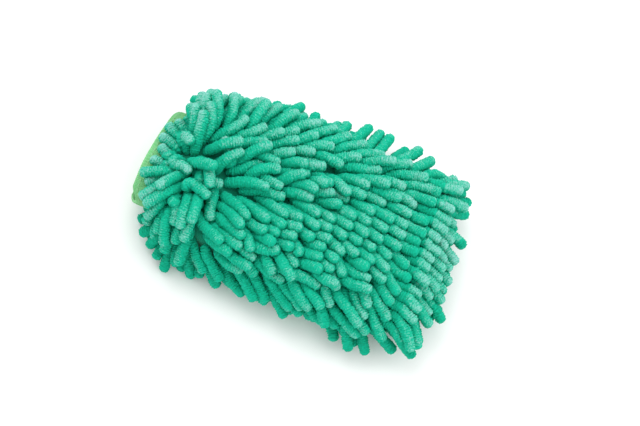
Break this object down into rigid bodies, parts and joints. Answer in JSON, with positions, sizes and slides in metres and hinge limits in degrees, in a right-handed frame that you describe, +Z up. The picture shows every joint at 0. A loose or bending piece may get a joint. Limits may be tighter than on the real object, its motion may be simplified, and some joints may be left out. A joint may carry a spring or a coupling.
{
  "type": "wash mitt",
  "caption": "Chenille microfibre wash mitt: a tufted bag for the hand, with noodle pile on both sides, a cloth lining and a rib-knit cuff.",
  "frame": {"origin": "middle of the mitt's outer box, on the surface that it lies on", "axes": "+X from the cuff to the fingertip end, +Y across the mitt, +Z up through its upper side"},
  "size_m": [0.2634, 0.1772, 0.0824],
  "materials": {
    "chenille": "matte",
    "backing_knit": "matte",
    "lining_knit": "matte",
    "cuff_rib_knit": "matte",
    "cuff_thread": "satin",
    "seam_thread": "satin"
  },
  "bodies": {
    "lower_side": {"lower_backing": "backing_knit", "lower_lining": "lining_knit", "lower_cuff": "cuff_rib_knit", "lower_hem_stitches": "cuff_thread", "lower_neck_stitches": "seam_thread", "left_side_seam": "seam_thread", "right_side_seam": "seam_thread", "fingertip_seam": "seam_thread", "lower_noodles_row_01": "chenille", "lower_noodles_row_02": "chenille", "lower_noodles_row_03": "chenille", "lower_noodles_row_04": "chenille", "lower_noodles_row_05": "chenille", "lower_noodles_row_06": "chenille", "lower_noodles_row_07": "chenille", "lower_noodles_row_08": "chenille", "lower_noodles_row_09": "chenille", "lower_noodles_row_10": "chenille", "lower_noodles_row_11": "chenille", "lower_noodles_row_12": "chenille", "lower_noodles_row_13": "chenille", "lower_noodles_row_14": "chenille", "lower_noodles_row_15": "chenille", "lower_noodles_row_16": "chenille", "lower_noodles_fingertips": "chenille"},
    "upper_side": {"upper_backing": "backing_knit", "upper_lining": "lining_knit", "upper_cuff": "cuff_rib_knit", "upper_hem_stitches": "cuff_thread", "upper_neck_stitches": "seam_thread", "upper_noodles_row_01": "chenille", "upper_noodles_row_02": "chenille", "upper_noodles_row_03": "chenille", "upper_noodles_row_04": "chenille", "upper_noodles_row_05": "chenille", "upper_noodles_row_06": "chenille", "upper_noodles_row_07": "chenille", "upper_noodles_row_08": "chenille", "upper_noodles_row_09": "chenille", "upper_noodles_row_10": "chenille", "upper_noodles_row_11": "chenille", "upper_noodles_row_12": "chenille", "upper_noodles_row_13": "chenille", "upper_noodles_row_14": "chenille", "upper_noodles_row_15": "chenille", "upper_noodles_row_16": "chenille", "upper_noodles_fingertips": "chenille"}
  },
  "joints": [
    {"name": "mouth_opening", "type": "hinge", "parent": "lower_side", "child": "upper_side", "pos_m": [0.10282, 0, 0.033], "axis": [0, 1, 0], "range_deg": [0, 8], "stiffness_Nm_per_rad": 1}
  ]
}
